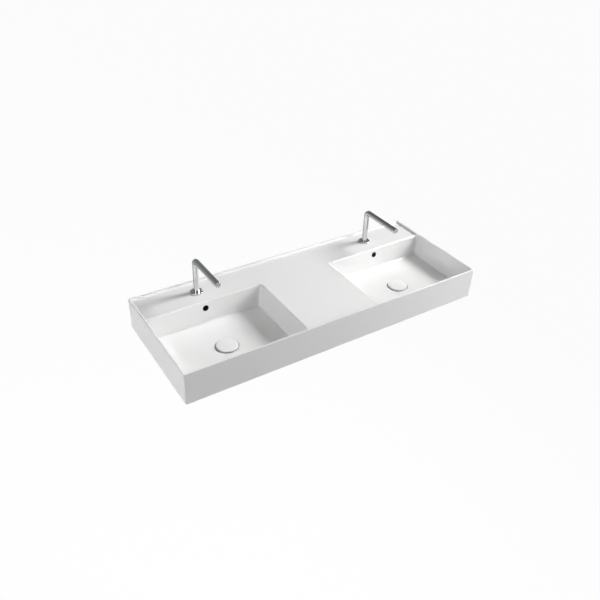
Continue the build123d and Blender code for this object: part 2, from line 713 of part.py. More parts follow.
def grip_pin():
    """The short upright pin that a finger turns the collar by."""
    top = COLLAR_TOP + GRIP_PIN_RISE
    pin = ring(GRIP_PIN_R, 0, GRIP_PIN_FOOT, top)
    pin = fillet(edges_at(pin, top), GRIP_PIN_EDGE_R)
    return Pos(GRIP_PIN_FROM_AXIS, 0, 0) * pin


def drive_sleeve():
    """The sleeve round the spout's stem that carries the collar's turn down to the moving disc."""
    plate_low = COLLAR_TOP - COLLAR_PLATE
    lip_low = COLLAR_TOP - COLLAR_LIP
    seat_r = STEM_SHOULDER_R + SLEEVE_END_PLAY
    seat_low = STEM_SHOULDER_LOW - SLEEVE_END_PLAY
    relief_top = SNAP_TOP + SLEEVE_END_PLAY
    sleeve = turned(
        (RELIEF_R, MOVING_DISC_TOP), (SLEEVE_R, MOVING_DISC_TOP), (SLEEVE_R, SHOULDER_LOW),
        (SHOULDER_R, SHOULDER_LOW), (SHOULDER_R, SHOULDER_TOP), (SLEEVE_R, SHOULDER_TOP),
        (SLEEVE_R, plate_low), (SPIGOT_R, plate_low), (SPIGOT_R, lip_low), (seat_r, lip_low),
        (seat_r, seat_low), (SLEEVE_BORE_R, seat_low), (SLEEVE_BORE_R, relief_top), (RELIEF_R, relief_top),
    )
    for turn in (0, 180):
        sleeve += Rot(0, 0, turn) * drive_tang(0)
    return sleeve


def drive_tang(grow):
    """One driving lug on the sleeve's foot, or with a growth the notch that it fits."""
    low = MOVING_DISC_TOP - TANG_LENGTH - grow
    half = TANG_WIDTH / 2 + grow
    outer = DISC_R + OVERRUN if grow else TANG_OUTER_R
    return block((TANG_INNER_R - grow, -half, low), (outer, half, MOVING_DISC_TOP + OVERRUN))


def port(angle, low, high, radius):
    """An upright hole at one of the two water ports."""
    return Rot(0, 0, angle) * Pos(INLET_FROM_AXIS, 0, 0) * ring(radius, 0, low, high)


def moving_disc():
    """The upper ceramic disc: an arched opening that passes over the ports as it turns."""
    disc = ring(DISC_R, 0, MOVING_DISC_TOP - DISC_THICK + DISC_GAP, MOVING_DISC_TOP)
    low = MOVING_DISC_TOP - DISC_THICK - OVERRUN
    high = MOVING_DISC_TOP + OVERRUN
    start = 90 - ARCH_DEGREES / 2
    for step in range(ARCH_STEPS):
        disc -= port(start + ARCH_DEGREES * step / (ARCH_STEPS - 1), low, high, PORT_R)
    band = ring(INLET_FROM_AXIS + PORT_R, INLET_FROM_AXIS - PORT_R, low, high)
    half = math.radians(ARCH_DEGREES / 2)
    wedge = Polyline((0, 0, low), (2 * DISC_R * math.sin(half), 2 * DISC_R * math.cos(half), low),
                     (-2 * DISC_R * math.sin(half), 2 * DISC_R * math.cos(half), low), close=True)
    disc -= band & extrude(make_face(wedge), amount=high - low, dir=(0, 0, 1))
    for turn in (0, 180):
        disc -= Rot(0, 0, turn) * drive_tang(TANG_PLAY)
    return disc


def fixed_disc():
    """The lower ceramic disc, with one round port for cold water and one for hot."""
    top = MOVING_DISC_TOP - DISC_THICK
    disc = ring(DISC_R, 0, top - DISC_THICK, top)
    for angle in PORT_ANGLES.values():
        disc -= port(angle, top - DISC_THICK - OVERRUN, top + OVERRUN, PORT_R)
    return disc


def port_seals():
    """The two rubber rings that seal the fixed disc to the body's ports."""
    seal = Torus(PORT_R + 2 * PORT_SEAL_R, PORT_SEAL_R)
    place = Pos(INLET_FROM_AXIS, 0, -CHAMBER_FLOOR + PORT_SEAL_R)
    return [Rot(0, 0, angle) * place * seal for angle in PORT_ANGLES.values()]


def tap_body():
    """The brass body: a flange on the deck, a threaded shank through it and two inlets below."""
    low = -SHANK_LENGTH
    counterbore = SHOULDER_LOW - SLEEVE_END_PLAY
    body = turned(
        (0, low), (SHANK_R, low), (SHANK_R, DECK_GASKET_THICK), (BODY_FLANGE_R, DECK_GASKET_THICK),
        (BODY_FLANGE_R, BODY_FLANGE_TOP), (SLEEVE_NUT_R, BODY_FLANGE_TOP), (SLEEVE_NUT_R, counterbore),
        (CHAMBER_R, counterbore), (CHAMBER_R, -CHAMBER_FLOOR), (0, -CHAMBER_FLOOR),
    )
    for angle in PORT_ANGLES.values():
        body -= port(angle, low - OVERRUN, low + INLET_DEPTH, INLET_R)
        body -= port(angle, low, -CHAMBER_FLOOR + OVERRUN, PORT_R)
    return body


def sleeve_nut():
    """The ring nut that keeps the drive sleeve in the body, with two spanner slots."""
    top = BODY_FLANGE_TOP - SLEEVE_END_PLAY
    nut = ring(SLEEVE_NUT_R, CHAMBER_R, SHOULDER_TOP + SLEEVE_END_PLAY, top)
    half = SLEEVE_NUT_SLOT / 2
    return nut - block((-SLEEVE_NUT_R, -half, top - SLEEVE_NUT_SLOT_DEPTH), (SLEEVE_NUT_R, half, top + OVERRUN))


def deck_gasket():
    """The thin rubber ring between the body's flange and the ceramic."""
    return ring(DECK_GASKET_R, SHANK_R, 0, DECK_GASKET_THICK)


def clamp_rubber_washer():
    """The rubber washer under the deck."""
    top = -DECK_THICK
    return ring(CLAMP_R, SHANK_R, top - CLAMP_RUBBER_THICK, top)


def clamp_steel_washer():
    """The steel washer below the rubber one."""
    top = -DECK_THICK - CLAMP_RUBBER_THICK
    return ring(CLAMP_R, SHANK_R, top - CLAMP_STEEL_THICK, top)


def clamp_nut():
    """The hexagonal brass nut on the shank, with its corners turned off."""
    top = -DECK_THICK - CLAMP_RUBBER_THICK - CLAMP_STEEL_THICK
    low = top - CLAMP_NUT_THICK
    corner_r = CLAMP_NUT_ACROSS_FLATS / math.sqrt(3)
    hexagon = extrude(Pos(0, 0, low) * RegularPolygon(corner_r, 6), amount=CLAMP_NUT_THICK)
    flat_r = CLAMP_NUT_ACROSS_FLATS / 2
    turning = turned((0, low), (flat_r, low), (corner_r, low + CLAMP_NUT_BEVEL), (corner_r, top), (0, top))
    return (hexagon & turning) - ring(SHANK_R, 0, low - OVERRUN, top + OVERRUN)


# Writing the pieces in their places

WASTE_PIECES = {
    "waste_body": waste_body,
    "flange_seal": flange_seal,
    "cone_gasket": cone_gasket,
    "backnut": backnut,
    "click_barrel": click_barrel,
    "click_plunger": click_plunger,
    "click_rotor": click_rotor,
    "click_spring": click_spring,
    "waste_cap": waste_cap,
    "cap_carrier": cap_carrier,
    "plug_seal": plug_seal,
}
TAP_PIECES = {
    "spout_tube": spout_tube,
    "spout_stem": spout_stem,
    "stem_o_rings": stem_o_rings,
    "spout_snap_ring": spout_snap_ring,
    "aerator_housing": aerator_housing,
    "aerator_o_ring": aerator_o_ring,
    "aerator_insert": aerator_insert,
    "control_collar": control_collar,
    "grip_pin": grip_pin,
    "drive_sleeve": drive_sleeve,
    "moving_disc": moving_disc,
    "fixed_disc": fixed_disc,
    "port_seals": port_seals,
    "tap_body": tap_body,
    "sleeve_nut": sleeve_nut,
}
SHARED_TAP_PIECES = {
    "deck_gaskets": deck_gasket,
    "clamp_rubber_washers": clamp_rubber_washer,
    "clamp_steel_washers": clamp_steel_washer,
    "clamp_nuts": clamp_nut,
}


def waste_place(side):
    """Where a waste stands."""
    return Pos(side * STATION_X, WASTE_Y, SEAT_Z)


def tap_place(side):
    """Where a tap stands."""
    return Pos(side * STATION_X, TAP_Y, DECK_Z)


def placed(place, made):
    """The solids of one piece, moved to where it stands."""
    pieces = made if isinstance(made, list) else [made]
    return [place * piece for piece in pieces]


def write(name, solids):
    """Writes one piece, or a group of like pieces, under its own name."""
    shape = solids[0] if len(solids) == 1 else Compound([solid.solid() for solid in solids])
    export_step(shape, f"parts/{name}.step")


os.makedirs("parts", exist_ok=True)
write("basin_body", [basin_body()])
for side_name, side in SIDES.items():
    for name, make in WASTE_PIECES.items():
        write(f"{name}_{side_name}", placed(waste_place(side), make()))
    for name, make in TAP_PIECES.items():
        write(f"{name}_{side_name}", placed(tap_place(side), make()))
for name, make in SHARED_TAP_PIECES.items():
    write(name, [tap_place(side) * make() for side in SIDES.values()])
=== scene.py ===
import math

import bpy
from mathutils import Matrix, Vector


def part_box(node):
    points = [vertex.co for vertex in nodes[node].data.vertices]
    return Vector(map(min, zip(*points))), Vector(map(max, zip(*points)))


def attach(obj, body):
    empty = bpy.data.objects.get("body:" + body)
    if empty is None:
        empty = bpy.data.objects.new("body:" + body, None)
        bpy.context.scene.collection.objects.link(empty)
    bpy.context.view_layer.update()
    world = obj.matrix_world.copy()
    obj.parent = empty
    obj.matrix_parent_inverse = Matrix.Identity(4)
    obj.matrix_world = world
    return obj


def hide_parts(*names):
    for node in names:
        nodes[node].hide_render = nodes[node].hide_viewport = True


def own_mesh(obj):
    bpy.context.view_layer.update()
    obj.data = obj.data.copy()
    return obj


# A wall-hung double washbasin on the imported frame: one glazed casting, two wastes and two bent-tube taps.
# The sections follow the order in which a fitter puts it together.
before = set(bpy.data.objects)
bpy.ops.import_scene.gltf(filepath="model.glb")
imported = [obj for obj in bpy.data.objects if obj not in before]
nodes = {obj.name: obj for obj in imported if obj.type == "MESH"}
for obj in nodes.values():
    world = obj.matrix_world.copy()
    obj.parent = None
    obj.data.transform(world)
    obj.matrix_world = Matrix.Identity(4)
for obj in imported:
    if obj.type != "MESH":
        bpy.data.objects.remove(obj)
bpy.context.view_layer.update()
bpy.ops.object.select_all(action="DESELECT")


# The ceramic casting: one piece of slip-cast sanitaryware with its rim, tray, bowls and overflow ducts.
# It is glazed gloss white wherever it shows, and left bare on the foot and inside the hollow underside. The insides
# of its overflow ducts are painted nearly black, as painted shade.
# Its surface is the frame's own, merged, with the shading that the frame gives its rounded edges and flats.

class Wire:
    """An output of a node, which can be worked with as a value."""

    def __init__(self, socket):
        self.socket = socket

    def node(self, kind, settings=None, sockets=None, output=0):
        """Adds a node beside this one: its settings first, then the values or wires of its sockets."""
        tree = self.socket.node.id_data
        made = tree.nodes.new(kind)
        for name, value in (settings or {}).items():
            if name == "stops":
                set_stops(made.color_ramp, value)
            else:
                setattr(made, name, value)
        feed(made, sockets or {})
        return Wire(made.outputs[output])

    def maths(self, operation, other=0.0):
        return self.node("ShaderNodeMath", {"operation": operation}, {0: self, 1: other})

    def __add__(self, other):
        return self.maths("ADD", other)

    def __sub__(self, other):
        return self.maths("SUBTRACT", other)

    def __mul__(self, other):
        return self.maths("MULTIPLY", other)

    def __rsub__(self, other):
        return self * -1.0 + other

    __radd__ = __add__
    __rmul__ = __mul__

    def clamp(self):
        return self.node("ShaderNodeClamp", {}, {0: self})

    def between(self, low, high):
        """A colour that goes from low to high as this value goes from 0 to 1."""
        return self.node("ShaderNodeMix", {"data_type": "RGBA"}, {0: self, 6: rgba(low), 7: rgba(high)}, output=2)

    def noise(self, scale, detail=2.0, roughness=0.5, stretch=(1.0, 1.0, 1.0)):
        """A cloudy pattern about 0.5 on these coordinates."""
        place = self.node("ShaderNodeMapping", {}, {"Vector": self, "Scale": stretch})
        return place.node("ShaderNodeTexNoise", {}, {
            "Vector": place, "Scale": scale, "Detail": detail, "Roughness": roughness})

    def bump(self, height, strength, distance):
        """A normal that this pattern of heights presses into the surface."""
        return self.node("ShaderNodeBump", {}, {"Height": height, "Strength": strength, "Distance": distance})


def rgba(colour):
    """A colour with its fourth number, or a wire as it is."""
    if isinstance(colour, Wire) or len(colour) == 4:
        return colour
    return (*colour, 1.0)


def set_stops(ramp, stops):
    """Puts a ramp's stops at their places."""
    while len(ramp.elements) < len(stops):
        ramp.elements.new(0.5)
    for element, (place, colour) in zip(ramp.elements, stops):
        element.position = place
        element.color = rgba(colour)


def feed(node, sockets):
    """Sets a node's sockets to values, or joins them to wires."""
    for name, value in sockets.items():
        if isinstance(value, Wire):
            node.id_data.links.new(value.socket, node.inputs[name])
        else:
            node.inputs[name].default_value = value


def new_finish(name):
    """A material, its shader, and the piece's own coordinates in metres."""
    material = bpy.data.materials.new(name)
    material.use_nodes = True
    tree = material.node_tree
    place = tree.nodes.new("ShaderNodeTexCoord")
    return material, tree.nodes["Principled BSDF"], Wire(place.outputs["Object"])


def make_glaze():
    """Thick white gloss glaze: nearly even in tone, with the slow waves that a fired glaze keeps."""
    material, shader, place = new_finish("white_glaze")
    cloud = place.noise(5.0, detail=3.0)
    waves = place.noise(38.0, detail=1.0)
    smears = place.noise(9.0, detail=4.0, roughness=0.65, stretch=(1.0, 2.2, 1.0))
    feed(shader, {
        "Base Color": cloud.between((0.865, 0.865, 0.862), (0.895, 0.895, 0.89)),
        "Roughness": smears * 0.10 + 0.07,
        "Normal": place.bump(waves, 0.12, 0.0006),
        "IOR": 1.52,
        "Coat Weight": 0.25,
        "Coat Roughness": 0.04,
    })
    return material


def make_bisque():
    """Bare fired clay: cream, dull and finely grained, with the sponge marks of the fettler."""
    material, shader, place = new_finish("bare_bisque")
    grain = place.noise(900.0, detail=2.0)
    sponge = place.noise(28.0, detail=4.0, roughness=0.6, stretch=(1.0, 1.0, 2.0))
    tone = (sponge * 0.75 + grain * 0.25).clamp()
    feed(shader, {
        "Base Color": tone.between((0.70, 0.665, 0.60), (0.83, 0.80, 0.745)),
        "Roughness": grain * 0.12 + 0.80,
        "Normal": place.bump(sponge * 0.6 + grain * 0.4, 0.5, 0.0006),
    })
    return material


def set_material(piece, *materials):
    """Gives a piece its finishes."""
    piece.data.materials.clear()
    for material in materials:
        piece.data.materials.append(material)


def smooth_over(piece, degrees=35.0):
    """Shades smoothly, with sharp edges kept and the large flats left flat."""
    carried_over = piece.data.attributes.get("custom_normal")
    if carried_over:
        piece.data.attributes.remove(carried_over)
    bpy.ops.object.select_all(action="DESELECT")
    bpy.context.view_layer.objects.active = piece
    piece.select_set(True)
    bpy.ops.object.shade_smooth_by_angle(angle=math.radians(degrees), keep_sharp_edges=True)
    piece.modifiers.new("even_flats", "WEIGHTED_NORMAL").keep_sharp = True
    bpy.ops.object.modifier_apply(modifier="even_flats")


def copy_of(node, name):
    """A copy of a frame node's surface with its loose triangles merged, shaded as the node is."""
    piece = bpy.data.objects.new(name, nodes[node].data.copy())
    bpy.context.scene.collection.objects.link(piece)
    bpy.context.view_layer.objects.active = piece
    piece.select_set(True)
    bpy.ops.object.mode_set(mode="EDIT")
    bpy.ops.mesh.select_all(action="SELECT")
    bpy.ops.mesh.remove_doubles(threshold=0.000002)
    bpy.ops.object.mode_set(mode="OBJECT")
    bpy.ops.object.select_all(action="DESELECT")
    return piece


def make_duct_painted_shade():
    """The inside of the overflow ducts: bare clay painted nearly black, as painted shade for their dark insides."""
    material, shader, place = new_finish("duct_painted_shade")
    shade_mottle = place.noise(90.0, detail=3.0)
    feed(shader, {
        "Base Color": shade_mottle.between((0.006, 0.006, 0.006), (0.022, 0.021, 0.019)),
        "Roughness": shade_mottle * 0.2 + 0.7,
    })
    return material


def open_to_the_sky(piece, face):
    """Whether a face of the casting has nothing of it straight above."""
    above_face = face.center + 0.0015 * face.normal
    return not piece.ray_cast(above_face, Vector((0, 0, 1)))[0]


def in_a_duct(face):
    """Whether a face lies in the duct behind and under a bowl, or in the hole that leads to it."""
    across = abs(abs(face.center.x) - STATION_X)
    up = face.center.z
    bowl_wall = LEDGE_FRONT - BACK_WALL_SLOPE * (DECK_HEIGHT - up) / DECK_ABOVE_FLOOR
    upright = across < DUCT_HALF_WIDTH and bowl_wall + GLAZED_LIP < face.center.y < DUCT_BACK
    level = across < DUCT_HALF_WIDTH and WASTE_Y < face.center.y < DUCT_BACK
    gallery = math.hypot(across, face.center.y - WASTE_Y) < GALLERY_R
    return (upright and DUCT_LOW < up < DUCT_TOP) or ((level or gallery) and DUCT_LOW < up < DUCT_CEILING)


STATION_X = 0.372
LEDGE_FRONT = -0.134
BACK_WALL_SLOPE = 0.010
DECK_HEIGHT = 0.056
DECK_ABOVE_FLOOR = 0.083
GLAZED_LIP = 0.0022
DUCT_HALF_WIDTH = 0.0202
DUCT_BACK = -0.1138
DUCT_TOP = 0.0422
DUCT_LOW = -0.0472
DUCT_CEILING = -0.0388
GALLERY_R = 0.0282
WASTE_Y = -0.294
white_glaze = make_glaze()
bare_bisque = make_bisque()
duct_painted_shade = make_duct_painted_shade()
casting = copy_of("basin_body", "ceramic_casting")
set_material(casting, white_glaze, bare_bisque, duct_painted_shade)
bpy.context.view_layer.update()
# Faces inside the overflow ducts get the near-black painted shade. The rest is glazed where nothing of the casting
# lies above, and bare where something does.
for face in casting.data.polygons:
    if in_a_duct(face):
        face.material_index = 2
    else:
        face.material_index = 0 if open_to_the_sky(casting, face) else 1
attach(casting, "basin")
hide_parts("basin_body")


# The waste seals: a flat black ring under each flange and a coned one under the boss.
# Both are moulded rubber, dull and a little dusty, squeezed between the brass and the ceramic.

def make_rubber(name, dark, light):
    """Moulded rubber with a fine grain and a bloom of dust."""
    material, shader, place = new_finish(name)
    grain = place.noise(1500.0, detail=1.0)
    bloom = place.noise(60.0, detail=3.0)
    feed(shader, {
        "Base Color": bloom.between(dark, light),
        "Roughness": bloom * 0.15 + 0.62,
        "Normal": place.bump(grain, 0.35, 0.0002),
        "IOR": 1.50,
    })
    return material


def dress(material, *names):
    """Gives frame nodes that keep their own surface a finish."""
    for name in names:
        set_material(nodes[name], material)


black_rubber = make_rubber("black_rubber", (0.016, 0.016, 0.017), (0.035, 0.035, 0.036))
grey_rubber = make_rubber("grey_rubber", (0.10, 0.10, 0.105), (0.16, 0.16, 0.165))
for side in ("left", "right"):
    dress(black_rubber, f"flange_seal_{side}", f"cone_gasket_{side}", f"plug_seal_{side}")


# The waste bodies and their backnuts: turned brass, chrome plated, cut with two overflow slots.
# The plating is bright on the flange and drawn with fine turning marks down the pipe.
# The pipe is threaded for the backnut, and below a groove for the trap, so the thread is cut into a copy.

def make_chrome():
    """Bright chrome plate over polished brass, with faint polishing haze and the darker edge that chromium has."""
    material, shader, place = new_finish("chrome_plate")
    haze = place.noise(70.0, detail=4.0, roughness=0.6)
    hairs = place.noise(240.0, detail=2.0, stretch=(1.0, 1.0, 0.12))
    feed(shader, {
        "Base Color": haze.between((0.61, 0.62, 0.635), (0.70, 0.71, 0.725)),
        "Specular Tint": (0.3, 0.3, 0.31, 1.0),
        "Metallic": 1.0,
        "Roughness": haze * 0.07 + hairs * 0.05 + 0.03,
        "Normal": place.bump(hairs, 0.03, 0.0002),
    })
    return material


def make_turned(name, dark, light, shine):
    """Metal left as it came off the lathe: fine rings up its length and a little tarnish."""
    material, shader, place = new_finish(name)
    up = Wire(place.node("ShaderNodeSeparateXYZ", {}, {0: place}).socket.node.outputs[2])
    rings = (up * 9000.0).maths("SINE") * 0.5 + 0.5
    tarnish = place.noise(55.0, detail=4.0, roughness=0.6)
    feed(shader, {
        "Base Color": tarnish.between(dark, light),
        "Metallic": 1.0,
        "Roughness": tarnish * 0.16 + shine,
        "Normal": place.bump(rings, 0.25, 0.0001),
    })
    return material


def turned_piece(name, centre, axis, outward, outline, sides):
    """Draws an outline of (radius, distance along the axis) point by point and spins it round the axis."""
    places = [centre + radius * outward + along * axis for radius, along in outline]
    bpy.ops.object.select_all(action="DESELECT")
    bpy.ops.mesh.primitive_plane_add(size=0.001, location=places[0])
    piece = bpy.context.active_object
    bpy.ops.object.transform_apply(location=True, rotation=True, scale=True)
    piece.name = name
    bpy.ops.object.mode_set(mode="EDIT")
    bpy.ops.mesh.select_all(action="SELECT")
    bpy.ops.mesh.merge(type="CENTER")
    for start, end in zip(places, places[1:]):
        bpy.ops.mesh.extrude_vertices_move(TRANSFORM_OT_translate={"value": end - start})
    bpy.ops.mesh.select_all(action="SELECT")
    bpy.ops.mesh.spin(steps=sides, angle=2 * math.pi, center=centre, axis=axis)
    bpy.ops.mesh.select_all(action="SELECT")
    bpy.ops.mesh.remove_doubles(threshold=0.000002)
    bpy.ops.mesh.normals_make_consistent(inside=False)
    bpy.ops.object.mode_set(mode="OBJECT")
    return piece


def cut_away(piece, cutter):
    """Takes one solid out of another and throws the cutting shape away."""
    cut = piece.modifiers.new("cut", "BOOLEAN")
    cut.operation = "DIFFERENCE"
    cut.solver = "EXACT"
    cut.object = cutter
    bpy.ops.object.select_all(action="DESELECT")
    bpy.context.view_layer.objects.active = piece
    bpy.ops.object.modifier_apply(modifier="cut")
    bpy.data.objects.remove(cutter)


def cut_thread(piece, foot, radius, length, pitch, depth):
    """Cuts a run of thread into a pipe, from a point on its axis upwards."""
    crest = radius + THREAD_CREST
    outside = radius + 2 * pitch
    outline = [(outside, 0), (crest, 0)]
    for turn in range(int(length / pitch)):
        outline += [(radius - depth, (turn + 0.5) * pitch), (crest, (turn + 1) * pitch)]
    outline += [(outside, outline[-1][1]), (outside, 0)]
    cut_away(piece, turned_piece("thread", foot, UP, ACROSS, outline, THREAD_SIDES))


def middle_of(node):
    """The middle of a node's box."""
    low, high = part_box(node)
    return (low + high) / 2


UP = Vector((0, 0, 1))
ACROSS = Vector((1, 0, 0))
THREAD_CREST = 0.00006
THREAD_SIDES = 96
WASTE_PIPE_R = 0.02095
WASTE_PITCH = 0.002
WASTE_THREAD_DEPTH = 0.0009
TAIL_LENGTH = 0.024
BACKNUT_THREAD_FROM = 0.0275
BACKNUT_THREAD_LENGTH = 0.018
chrome_plate = make_chrome()
turned_chrome = make_turned("turned_chrome", (0.56, 0.57, 0.58), (0.68, 0.69, 0.70), 0.16)
turned_brass = make_turned("turned_brass", (0.46, 0.30, 0.10), (0.66, 0.47, 0.19), 0.22)
for side in ("left", "right"):
    waste = copy_of(f"waste_body_{side}", f"threaded_waste_{side}")
    foot = middle_of(f"waste_body_{side}")
    foot.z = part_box(f"waste_body_{side}")[0].z
    cut_thread(waste, foot, WASTE_PIPE_R, TAIL_LENGTH, WASTE_PITCH, WASTE_THREAD_DEPTH)
    foot.z += BACKNUT_THREAD_FROM
    cut_thread(waste, foot, WASTE_PIPE_R, BACKNUT_THREAD_LENGTH, WASTE_PITCH, WASTE_THREAD_DEPTH)
    set_material(waste, turned_chrome)
    smooth_over(waste)
    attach(waste, "basin")
    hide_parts(f"waste_body_{side}")
    dress(turned_chrome, f"backnut_{side}")
    dress(turned_brass, f"click_barrel_{side}", f"click_plunger_{side}")


# The click cartridges: a moulded ring with four teeth turns under each plunger, and a wire spring lifts it.
# They sit inside the brass barrels and show only through the waste's bore.
# Each spring stands on its barrel's floor and is fixed to the basin.

def make_plastic(name, dark, light):
    """Moulded plastic with the fine spark grain of its tool."""
    material, shader, place = new_finish(name)
    grain = place.noise(1100.0, detail=1.0)
    flow = place.noise(45.0, detail=2.0)
    feed(shader, {
        "Base Color": flow.between(dark, light),
        "Roughness": grain * 0.14 + 0.38,
        "Normal": place.bump(grain, 0.2, 0.0001),
        "IOR": 1.46,
    })
    return material


def make_wire_steel():
    """Drawn spring steel: bright, with drawing lines and a trace of oil."""
    material, shader, place = new_finish("drawn_wire")
    lines = place.noise(500.0, detail=2.0, stretch=(1.0, 1.0, 4.0))
    feed(shader, {
        "Base Color": lines.between((0.36, 0.365, 0.37), (0.55, 0.555, 0.56)),
        "Metallic": 1.0,
        "Roughness": lines * 0.2 + 0.2,
    })
    return material


white_plastic = make_plastic("white_plastic", (0.72, 0.72, 0.70), (0.82, 0.82, 0.80))
drawn_wire = make_wire_steel()
for side in ("left", "right"):
    dress(white_plastic, f"click_rotor_{side}", f"cap_carrier_{side}")
    dress(drawn_wire, f"spout_snap_ring_{side}")
    coil = copy_of(f"click_spring_{side}", f"coil_{side}")
    set_material(coil, drawn_wire)
    smooth_over(coil, 70.0)
    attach(coil, "basin")
    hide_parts(f"click_spring_{side}")
    low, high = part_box(f"click_spring_{side}")
    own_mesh(coil)


# The waste caps: pressed ceramic discs, glazed like the basin, with a full round edge and a faint crown.
# Each is drawn as half a section, spun about the waste's axis, and closed at its middle.

def round_corner(centre_r, centre_along, radius, start, stop, steps=8):
    """Points round an arc of an outline, from one angle to another in degrees."""
    points = []
    for step in range(steps + 1):
        angle = math.radians(start + (stop - start) * step / steps)
        points.append((centre_r + radius * math.cos(angle), centre_along + radius * math.sin(angle)))
    return points


CAP_EDGE_R = 0.0038
CAP_CROWN = 0.0028
CAP_RINGS = 10
CAP_SKIRT_WALL = 0.0032
CAP_PLATE = 0.0045
for side in ("left", "right"):
    low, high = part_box(f"waste_cap_{side}")
    radius = (high.x - low.x) / 2
    top = high.z - low.z
    edge_top = top - CAP_CROWN
    inner = radius - CAP_SKIRT_WALL
    centre = Vector(((low.x + high.x) / 2, (low.y + high.y) / 2, low.z))
    outline = [(0, top - CAP_PLATE), (inner, top - CAP_PLATE), (inner, 0.0006), (inner + 0.0006, 0)]
    outline += [(radius - 0.0006, 0), (radius, 0.0006)]
    outline += round_corner(radius - CAP_EDGE_R, edge_top - CAP_EDGE_R, CAP_EDGE_R, 0, 90)
    flat = radius - CAP_EDGE_R
    for ring in range(CAP_RINGS - 1, -1, -1):
        outline.append((flat * ring / CAP_RINGS, top - CAP_CROWN * (ring / CAP_RINGS) ** 2))
    cap = turned_piece(f"ceramic_cap_{side}", centre, UP, ACROSS, outline, 128)
    set_material(cap, white_glaze)
    smooth_over(cap)
    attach(cap, f"plug_{side}")
    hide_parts(f"waste_cap_{side}")


# The tap bodies and what clamps them to the ledge: a brass shank, a rubber and a steel washer and a hexagon nut.
# The flange stands on a thin rubber ring on the glaze, and the rest shows only from below.
# The shank is threaded from its foot to the ledge, so that the nut can be run up it.

SHANK_R = 0.0165
SHANK_PITCH = 0.0015
SHANK_THREAD_DEPTH = 0.0008
SHANK_THREAD_LENGTH = 0.046
for side in ("left", "right"):
    shank = copy_of(f"tap_body_{side}", f"threaded_shank_{side}")
    foot = middle_of(f"tap_body_{side}")
    foot.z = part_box(f"tap_body_{side}")[0].z
    cut_thread(shank, foot, SHANK_R, SHANK_THREAD_LENGTH, SHANK_PITCH, SHANK_THREAD_DEPTH)
    set_material(shank, turned_brass)
    smooth_over(shank)
    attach(shank, "basin")
    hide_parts(f"tap_body_{side}")
    dress(turned_brass, f"sleeve_nut_{side}", f"drive_sleeve_{side}", f"spout_stem_{side}")
    dress(black_rubber, f"stem_o_rings_{side}", f"port_seals_{side}", f"aerator_o_ring_{side}")
dress(black_rubber, "deck_gaskets")
dress(grey_rubber, "clamp_rubber_washers")
dress(turned_brass, "clamp_nuts")


# The steel washers: stamped and zinc plated, with a brushed grain.

def make_zinc():
    """Zinc plate on stamped steel: pale, with a soft spangle."""
    material, shader, place = new_finish("zinc_plate")
    spangle = place.noise(130.0, detail=3.0)
    feed(shader, {
        "Base Color": spangle.between((0.50, 0.51, 0.52), (0.66, 0.67, 0.68)),
        "Metallic": 1.0,
        "Roughness": spangle * 0.22 + 0.25,
    })
    return material


dress(make_zinc(), "clamp_steel_washers")


# The ceramic discs that meter the water: lapped flat, dense and off white.

def make_disc_ceramic():
    """Dense sintered ceramic with a lapped face."""
    material, shader, place = new_finish("lapped_ceramic")
    grain = place.noise(600.0, detail=2.0)
    feed(shader, {
        "Base Color": grain.between((0.80, 0.78, 0.73), (0.87, 0.855, 0.81)),
        "Roughness": grain * 0.1 + 0.22,
    })
    return material


lapped_ceramic = make_disc_ceramic()
for side in ("left", "right"):
    dress(lapped_ceramic, f"moving_disc_{side}", f"fixed_disc_{side}")


# The control collars: a low round plate at the foot of each spout, chrome plated, with a rounded shoulder.
# A short round pin stands at its edge, pressed into a blind hole, and a finger turns the plate by it.

COLLAR_EDGE_R = 0.0012
COLLAR_BORE_R = 0.0103
PIN_EDGE_R = 0.0009
for side in ("left", "right"):
    low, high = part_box(f"control_collar_{side}")
    centre = Vector(((low.x + high.x) / 2, (low.y + high.y) / 2, low.z))
    radius = (high.x - low.x) / 2
    top = high.z - low.z
    outline = [(0.0214, top - 0.002), (0.0214, 0.0002), (0.0216, 0), (radius - 0.0003, 0), (radius, 0.0003)]
    outline += round_corner(radius - COLLAR_EDGE_R, top - COLLAR_EDGE_R, COLLAR_EDGE_R, 0, 90)
    outline += [(COLLAR_BORE_R + 0.0003, top), (COLLAR_BORE_R, top - 0.0003), (COLLAR_BORE_R, top - 0.001)]
    outline += [(0.0112, top - 0.001), (0.0112, top - 0.002), (0.0214, top - 0.002)]
    collar = turned_piece(f"collar_plate_{side}", centre, UP, ACROSS, outline, 128)
    set_material(collar, chrome_plate)
    smooth_over(collar)
    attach(collar, f"control_{side}")
    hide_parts(f"control_collar_{side}")

    low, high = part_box(f"grip_pin_{side}")
    centre = Vector(((low.x + high.x) / 2, (low.y + high.y) / 2, low.z))
    radius = (high.x - low.x) / 2
    top = high.z - low.z
    outline = [(0, 0), (radius, 0)]
    outline += round_corner(radius - PIN_EDGE_R, top - PIN_EDGE_R, PIN_EDGE_R, 0, 90)
    outline += [(0, top)]
    pin = turned_piece(f"pin_{side}", centre, UP, ACROSS, outline, 48)
    set_material(pin, chrome_plate)
    smooth_over(pin)
    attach(pin, f"control_{side}")
    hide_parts(f"grip_pin_{side}")


# The spouts: round chrome-plated brass tube, straight up, drawn round one tight bend and straight forward.
# The tube is a ring of edges pushed up, spun round the bend and pushed on, and then given its wall.

